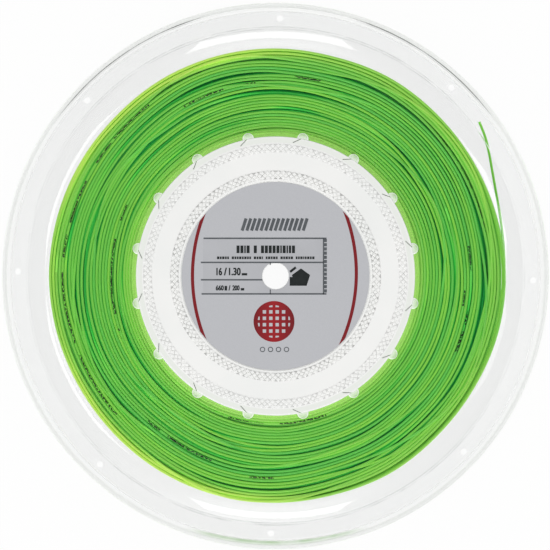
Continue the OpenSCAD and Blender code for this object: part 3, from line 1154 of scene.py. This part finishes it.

# %% [markdown]
# The string's flanks are painted brighter than its crest: painted light in the grooves between turns,
# as if light bled into them through slightly translucent string. Fine ribs run across it at a slant. The
# rows of small dark marks are drawn as plain dashes: one noise breaks each row into strokes, and a slower one
# into groups.

# %% Finish: ribs and marks on the string
rib_pitch = 0.94 * MM
slant = string.maths("ADD", string.times(along, math.tau / rib_pitch), string.times(aside, 1.9))
ribs = string.spread(string.maths("SINE", slant), -1, 1, 0.93, 1.03)
# painted light: the flanks are painted up to 30 % brighter than the crest
flank_light = string.spread(string.away(crest), 0.3, 0.85, 1.3, 1.0)
tone = string.times(ribs, flank_light)
grey = string.add("CombineXYZ", {0: tone, 1: tone, 2: tone}).outputs[0]
body = string.blend(1.0, body, grey, "MULTIPLY")
on_band = string.add("CombineXYZ", {0: string.times(along, 1150.0), 1: string.times(aside, 0.9)}).outputs[0]
strokes = string.add("TexNoise", {"Vector": on_band, "Scale": 1.0, "Detail": 0.0},
                     noise_dimensions="2D").outputs[0]
groups = string.noise_along(along, 70.0, 0.0)
on_crest = string.times(string.over(in_row, 0.5), string.over(string.away(crest), 0.6))
inked = string.times(string.over(strokes, 0.42), string.over(groups, 0.36))
string.colour(string.blend(string.times(string.times(on_crest, inked), 0.98), body, screen(3, 26, 10)))
string.gloss(900, 2, 0.3, 0.44)
string.bump(ribs, 0.02 * MM, 0.5)
dress([*wound, loose_tail], string)

# %% [markdown]
# ## Clear plastic
# The flanges are moulded in water-clear styrene. Glass in Blender throws a solid shadow, and the
# string behind it would go dark, so rays that ask for light pass straight through a Transparent
# shader instead, which keeps what a real wall lets through. A moulded wall is never quite flat: a
# very shallow, wide noise lets reflections waver, and fine handling marks dull the gloss here and
# there. Along the crisp bend where the land begins, a grey line is painted in patches as painted
# shade, and the thick rim looks a little greyer. Along a part of the upper rim a fine near-black line
# is painted into its corner as painted shade, and at the front the rim carries a faint green streak,
# painted light from the string. The foot of the rim, where a cloth doesn't reach, is matt. The reel
# stands and slides on its rear flange, whose outer parts have turned satin.

# %% Finish: clear styrene
def let_light_through(finish, share):
    """Lets rays that ask for light pass straight through, weakened to a share of each colour."""
    path = finish.add("LightPath").outputs
    passes = finish.maths("MAXIMUM", path["Is Shadow Ray"], path["Is Diffuse Ray"])
    open_air = finish.add("BsdfTransparent", {"Color": share})
    mixer = finish.add("MixShader", {0: passes, 1: finish.shader.outputs[0], 2: open_air.outputs[0]})
    finish.tree.links.new(mixer.outputs[0], finish.output.inputs["Surface"])


def styrene(name, satin, painted_rim_marks):
    """Clear styrene. satin is how rough its outer parts are; the last value sets how strongly the rim's
    painted dark line and painted green light show.
    """
    water_clear = (0.995, 0.997, 0.996, 1)
    clear = Finish(name, water_clear, 0.01, IOR=1.49, Transmission_Weight=1.0)
    clear.bump(clear.noise(28, 2), 0.05 * MM, 0.35)
    from_axis, _, sideways = clear.on_reel()
    x_place, y_place = clear.add("SeparateXYZ", {0: clear.place}).outputs[:2]

    handled = clear.spread(clear.noise(140, 6, 0.7), 0.52, 0.8, 0.0, 0.06)
    worn = clear.maths("ADD", handled, clear.spread(from_axis, 0.104, 0.1052, 0, satin, True))
    matt_foot = clear.spread(clear.away(from_axis, 0.1214), 0.0005, 0.001, 0.22, 0, True)
    clear.rough(clear.maths("MAXIMUM", worn, matt_foot))

    # painted shade: a grey line in patches along the bend where the land begins
    bend = clear.spread(clear.away(from_axis, land_edge * MM), 0.0001, 0.0004, 1, 0, True)
    patchy = clear.times(clear.spread(clear.noise(60, 4, 0.7), 0.38, 0.6, 0.1, 1),
                         clear.spread(sideways, 0.06, 0.09, 0.3, 1))
    tint = clear.blend(clear.times(bend, patchy), water_clear, (0.76, 0.77, 0.765, 1))
    rim = clear.spread(from_axis, 0.1212, 0.1222, 0, 1, True)
    tint = clear.blend(rim, tint, (0.96, 0.968, 0.958, 1))

    # painted shade: a near-black line in the corner of the upper rim
    dark_rim_line = clear.spread(clear.away(from_axis, 0.12305), 0.00003, 0.00014, painted_rim_marks, 0, True)
    dark_rim_line = clear.times(dark_rim_line, clear.spread(y_place, 0.068, 0.084, 0, 1, True))
    dark_rim_line = clear.times(dark_rim_line, clear.spread(clear.away(x_place), 0.03, 0.044, 0.12, 1, True))
    dark_rim_line = clear.times(dark_rim_line, clear.spread(clear.noise(50, 3), 0.3, 0.5, 0.6, 1))
    tint = clear.blend(dark_rim_line, tint, (0.02, 0.022, 0.02, 1))

    # painted light: a faint green streak on the front rim, as of the string's light seen in it
    green_rim_light = clear.spread(clear.away(from_axis, 0.1221), 0.0002, 0.0014, painted_rim_marks, 0, True)
    green_rim_light = clear.times(green_rim_light, clear.spread(y_place, -0.1145, -0.1195, 0, 1, True))
    green_rim_light = clear.times(green_rim_light, clear.spread(clear.noise(90, 4), 0.3, 0.6, 0.5, 1))
    clear.colour(clear.blend(green_rim_light, tint, (0.46, 0.62, 0.4, 1)))
    let_light_through(clear, (0.92, 0.93, 0.92, 1))
    return clear


dress([front_flange], styrene("clear_styrene", 0.0, 1.0))
dress([rear_flange], styrene("clear_styrene_satin", 0.2, 0.0))

# %% [markdown]
# ## Milky plastic
# Caps, sleeve and ribs are white, satin from the mould. The grooves of the knurling are painted grey,
# partly as a little dirt and partly as painted shade. The lip is painted a little greyer as painted
# shade, apart from its bright edge. The drum is moulded thinner and clearer. Tabs and feather edge thin
# out until the green below comes through, and they let light pass to the string under them as the
# flanges do. The feather edge is painted lime green, as painted light from the string below it.

# %% Finish: milky plastic
milky = Finish("satin_milky_plastic", screen(241, 241, 239), 0.42, Specular_IOR_Level=0.4)
clouds = milky.spread(milky.noise(35, 3), 0.35, 0.65, 0, 1)
milk = milky.blend(clouds, screen(239, 240, 238), screen(243, 243, 241))
from_axis, off_middle, _ = milky.on_reel()
# painted shade: the lip is painted a little greyer, apart from its edge
lip_shade = milky.times(milky.spread(from_axis, 0.0609, 0.0612, 0, 1),
                     milky.spread(from_axis, 0.0629, 0.0634, 1, 0))
milk = milky.blend(lip_shade, milk, screen(233, 236, 230))
# the knurl grooves are painted grey: partly dirt, partly painted shade
groove_dirt_and_shade = milky.times(milky.spread(off_middle, 10.86 * MM, 10.97 * MM, 1, 0, True),
                     milky.spread(milky.noise(420, 3), 0.42, 0.58, 0.12, 1))
for centre, dirt_and_shade in ((46.3, 0.62), (58.55, 0.38)):
    band = milky.spread(milky.away(from_axis, centre * MM), 1.85 * MM, 2.05 * MM, dirt_and_shade, 0)
    milk = milky.blend(milky.times(groove_dirt_and_shade, band), milk, screen(122, 121, 119))
milky.colour(milk)
milky.gloss(420, 4, 0.36, 0.5)
milky.bump(milky.noise(1800, 3), 0.006 * MM, 0.5)
dress([front_cap, rear_cap], milky)
dress_frame(("spindle_sleeve", "hub_ribs"), milky)

# %% Finish: thin milky plastics
thin_milky = Finish("thin_milky_plastic", screen(240, 243, 238), 0.3, IOR=1.49, Transmission_Weight=0.45)
thin_milky.colour(thin_milky.blend(thin_milky.noise(60, 3), screen(236, 241, 234), screen(246, 248, 244)))
thin_milky.gloss(300, 4, 0.25, 0.4)
thin_milky.bump(thin_milky.noise(900, 2), 0.01 * MM, 0.4)
dress([drum], thin_milky)

tab_milky = Finish("thin_tab_plastic", screen(244, 247, 243), 0.35, Specular_IOR_Level=0.4)
tab_milky.gloss(600, 3, 0.3, 0.45)
from_axis, off_middle, _ = tab_milky.on_reel()
on_tab = tab_milky.over(off_middle, 9.81 * MM)
solid = tab_milky.maths("ADD", tab_milky.spread(from_axis, 0.0641, 0.0664, 0.75, 0.24),
                        tab_milky.spread(off_middle, 10.24 * MM, 10.46 * MM, 0.62, 0))
tab_cover = tab_milky.times(on_tab, tab_milky.maths("MINIMUM", solid, 1.0))
feather = tab_milky.spread(from_axis, 0.064, 0.0671, 0.5, 0, True)
# painted light: away from the tabs the feather edge is painted lime green, as light from the string below
tab_milky.colour(tab_milky.blend(on_tab, screen(178, 238, 112), screen(244, 247, 243)))
cover = tab_milky.maths("MAXIMUM", tab_cover, feather)
tab_milky.tree.links.new(cover, tab_milky.shader.inputs["Alpha"])
let_light_through(tab_milky, (0.96, 0.97, 0.95, 1))
dress([front_tabs, rear_tabs, front_edge, rear_edge], tab_milky)

# %% [markdown]
# ## Card and inks
# The label is coated card in a cool silver grey with a very fine grain. Inks are a little glossier
# than the card. Dark grey carries the rules, the title and the rings, black the small print, and the
# arcs and the string bed are printed in dark red that deepens away from the middle.

# %% Finish: card
card = Finish("silver_card", screen(187, 188, 192), 0.5, Specular_IOR_Level=0.3)
grain = card.noise(2600, 2)
card.colour(card.blend(card.spread(grain, 0.3, 0.7, 0, 1), screen(184, 185, 189), screen(189, 190, 194)))
card.gloss(500, 3, 0.42, 0.56)
card.bump(grain, 0.004 * MM, 0.5)
dress_frame(("front_label", "rear_label"), card)

# %% Finish: inks
def ink(name, dark, light, roughness, scale):
    """A printed ink that varies a little between two tones."""
    finish = Finish(name, dark, roughness, Specular_IOR_Level=0.3)
    finish.colour(finish.blend(finish.spread(finish.noise(scale, 3), 0.35, 0.65, 0, 1), dark, light))
    finish.gloss(900, 2, roughness - 0.05, roughness + 0.07)
    return finish


grey_ink = ink("grey_ink", screen(82, 86, 90), screen(92, 96, 100), 0.4, 300)
black_ink = ink("black_ink", screen(26, 32, 32), screen(36, 42, 42), 0.4, 300)
panel_ink = ink("panel_ink", screen(178, 179, 183), screen(183, 184, 188), 0.48, 60)
red_ink = Finish("red_ink", screen(143, 22, 30), 0.38, Specular_IOR_Level=0.3)
x_place = red_ink.add("SeparateXYZ", {0: red_ink.place}).outputs[0]
off_bed = red_ink.away(x_place, -0.001)
shade = red_ink.times(red_ink.spread(off_bed, 0.0, 0.0095, 0, 1),
                      red_ink.spread(off_bed, 0.012, 0.016, 1, 0.75))
red_ink.colour(red_ink.blend(shade, screen(158, 20, 28), screen(118, 16, 24)))
red_ink.gloss(900, 2, 0.33, 0.45)
dress([rules, title, ring_row], grey_ink)
dress([words, numbers, section_mark], black_ink)
dress([panel], panel_ink)
dress([left_arc, right_arc, bed], red_ink)

# %% [markdown]
# ## Floor, ceiling and light
# The reel lies on a white table. A camera, a mirror and a pane see the table as pure white, and
# under the reel a trace of its shadow stays. Flat clear plastic mirrors what is straight above it,
# so a dark ceiling cloth hangs over the set: only mirrored rays see it, and the flats stay clear
# instead of milky. Soft boxes beside it show up in the flanges' slopes as white crescents. Most of
# the light comes from all sides, with a large soft key from the front.

# %% Build the set
def clean_tree(owner):
    """Empties the node tree of a material or of the world, and returns it."""
    owner.use_nodes = True
    owner.node_tree.nodes.clear()
    return owner.node_tree


def seen_rays(tree):
    """1 for rays from the camera, for mirrored rays and for rays through glass."""
    rays = add_node(tree, "LightPath").outputs
    direct = add_node(tree, "Math", {0: rays["Is Camera Ray"], 1: rays["Is Glossy Ray"]}, operation="MAXIMUM")
    return add_node(tree, "Math", {0: direct.outputs[0], 1: rays["Is Transmission Ray"]},
                    operation="MAXIMUM").outputs[0]


def split(tree, share, usual, chosen, output):
    """Shows the usual shader, and the chosen one to a share of the rays."""
    mixer = add_node(tree, "MixShader", {0: share, 1: usual.outputs[0], 2: chosen.outputs[0]})
    add_node(tree, output, {"Surface": mixer.outputs[0]})


def set_piece(name, material_name):
    """Names the new piece, gives it an empty material, and returns both the piece and the node tree."""
    piece = bpy.context.object
    piece.name = name
    piece.data.materials.append(bpy.data.materials.new(material_name))
    return piece, clean_tree(piece.data.materials[0])


white = (1, 1, 1, 1)
alone()
bpy.ops.mesh.primitive_plane_add(size=12, location=(0, 0, -0.2 * MM))
table, tree = set_piece("white_table", "white_table")
share = add_node(tree, "Math", {0: seen_rays(tree), 1: 0.95}, operation="MULTIPLY").outputs[0]
split(tree, share, add_node(tree, "BsdfDiffuse", {"Color": (0.85, 0.85, 0.85, 1)}),
      add_node(tree, "Emission", {"Color": white, "Strength": 1.0}), "OutputMaterial")

alone()
bpy.ops.mesh.primitive_circle_add(vertices=48, radius=4.2, fill_type="NGON", location=(0, 0, 3.4))
cloth, tree = set_piece("ceiling_cloth", "dark_cloth_in_mirrors")
split(tree, add_node(tree, "LightPath").outputs["Is Glossy Ray"], add_node(tree, "BsdfTransparent"),
      add_node(tree, "Emission", {"Color": (0.05, 0.05, 0.05, 1)}), "OutputMaterial")
print("set pieces:", table.name, cloth.name)

# %% Light it
world = bpy.data.worlds.new("studio")
bpy.context.scene.world = world
tree = clean_tree(world)
split(tree, seen_rays(tree), add_node(tree, "Background", {"Color": white, "Strength": 0.76}),
      add_node(tree, "Background", {"Color": white, "Strength": 1.0}), "OutputWorld")


def soft_box(name, from_above, towards, wide, tall, brightness, distance=2.5):
    """A soft box that faces the reel. from_above and towards are degrees: 0 is overhead, and +X is 0."""
    a, b = math.radians(from_above), math.radians(towards)
    out = distance * math.sin(a)
    place = (out * math.cos(b), out * math.sin(b), distance * math.cos(a))
    bpy.ops.object.light_add(type="AREA", location=place, rotation=(0, a, b))
    lamp = bpy.context.object
    lamp.name = name
    lamp.data.shape, lamp.data.size, lamp.data.size_y = "RECTANGLE", tall, wide
    lamp.data.energy = brightness * math.pi * wide * tall
    return lamp


alone()
soft_box("front_box", 23.6, -89, 0.68, 0.28, 2.5)
soft_box("back_box", 21.7, 89, 0.60, 0.27, 2.5)
soft_box("right_box_1", 8.8, -26, 0.26, 0.28, 2.6)
soft_box("right_box_2", 8.8, 27, 0.26, 0.28, 2.6)
soft_box("left_box_1", 10.2, 198, 0.21, 0.40, 2.6)
soft_box("left_box_2", 10.2, 162, 0.19, 0.40, 1.2)
soft_box("key_light", 50, -100, 2.4, 1.2, 2.15)
